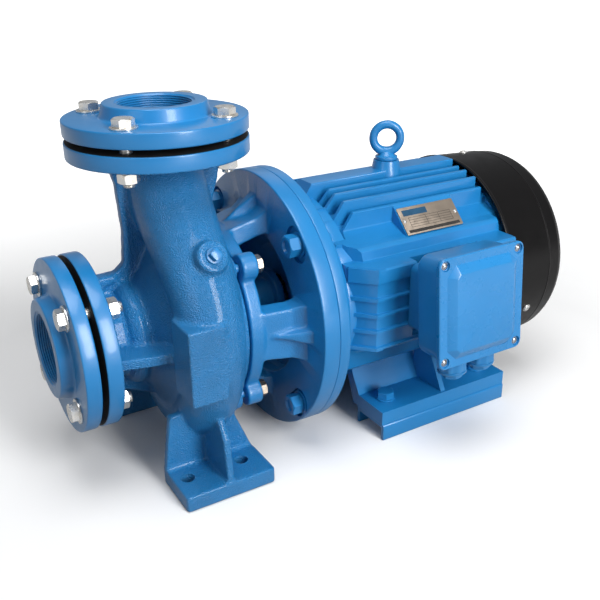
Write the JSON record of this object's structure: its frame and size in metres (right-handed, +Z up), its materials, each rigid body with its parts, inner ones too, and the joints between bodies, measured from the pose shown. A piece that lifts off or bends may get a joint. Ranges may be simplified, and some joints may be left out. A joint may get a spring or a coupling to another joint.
{
  "type": "centrifugal water pump",
  "caption": "Close-coupled end-suction centrifugal water pump with a volute casing, flanged ports, lantern bracket and finned foot-mounted electric motor.",
  "frame": {"origin": "on the floor, in the middle of the footprint of the whole pump set", "axes": "+X along the shaft from the suction flange to the fan cowl, +Z up, -Y the terminal box side"},
  "size_m": [0.6184, 0.3604, 0.3895],
  "materials": {
    "cast_blue_paint": "satin enamel over sand-cast iron",
    "smooth_blue_paint": "gloss enamel",
    "black_cowl_paint": "satin black",
    "zinc_steel": "zinc plated",
    "machined_steel": "turned and ground",
    "bare_cast_iron": "as cast",
    "laminated_steel": "varnished laminations",
    "copper_winding": "varnished copper wire",
    "rubber_seal": "matte",
    "nameplate_metal": "etched",
    "black_plastic": "moulded",
    "bronze": "machined casting",
    "ceramic_seal": "lapped ceramic"
  },
  "bodies": {
    "pump_set": {"volute_casing": "cast_blue_paint", "lantern_bracket": "cast_blue_paint", "flange_end_shield": "cast_blue_paint", "rear_end_shield": "cast_blue_paint", "discharge_companion_flange": "smooth_blue_paint", "suction_companion_flange": "smooth_blue_paint", "motor_frame": "smooth_blue_paint", "terminal_box": "smooth_blue_paint", "terminal_box_cover": "smooth_blue_paint", "cable_gland_1": "smooth_blue_paint", "cable_gland_2": "smooth_blue_paint", "eye_bolt": "smooth_blue_paint", "motor_rail_left": "smooth_blue_paint", "motor_rail_right": "smooth_blue_paint", "priming_plug": "smooth_blue_paint", "drain_plug": "smooth_blue_paint", "discharge_bolt_1": "zinc_steel", "suction_bolt_1": "zinc_steel", "casing_stud_1": "zinc_steel", "motor_flange_bolt_1": "smooth_blue_paint", "foot_bolt_1": "smooth_blue_paint", "discharge_bolt_2": "zinc_steel", "suction_bolt_2": "zinc_steel", "casing_stud_2": "zinc_steel", "motor_flange_bolt_2": "smooth_blue_paint", "foot_bolt_2": "smooth_blue_paint", "discharge_bolt_3": "zinc_steel", "suction_bolt_3": "zinc_steel", "casing_stud_3": "zinc_steel", "motor_flange_bolt_3": "smooth_blue_paint", "foot_bolt_3": "smooth_blue_paint", "discharge_bolt_4": "zinc_steel", "suction_bolt_4": "zinc_steel", "casing_stud_4": "zinc_steel", "motor_flange_bolt_4": "smooth_blue_paint", "foot_bolt_4": "smooth_blue_paint", "discharge_gasket": "rubber_seal", "suction_gasket": "rubber_seal", "casing_gasket": "rubber_seal", "wear_ring": "bronze", "bearing_drive_end_outer": "machined_steel", "bearing_fan_end_outer": "machined_steel", "casing_cover": "bare_cast_iron", "seal_stationary": "ceramic_seal", "stator_core": "laminated_steel", "winding_drive_end": "copper_winding", "winding_fan_end": "copper_winding", "terminal_block": "black_plastic", "fan_cowl": "black_cowl_paint", "nameplate": "nameplate_metal"},
    "rotor": {"impeller": "bronze", "impeller_nut": "machined_steel", "impeller_key": "machined_steel", "seal_rotating": "machined_steel", "shaft_sleeve": "smooth_blue_paint", "motor_shaft": "machined_steel", "rotor_core": "laminated_steel", "bearing_drive_end_inner": "machined_steel", "bearing_fan_end_inner": "machined_steel", "cooling_fan": "black_plastic"}
  },
  "joints": [
    {"name": "shaft_spin", "type": "hinge", "parent": "pump_set", "child": "rotor", "pos_m": [-0.16875, 0.03016, 0.152], "axis": [1, 0, 0], "continuous": true}
  ]
}
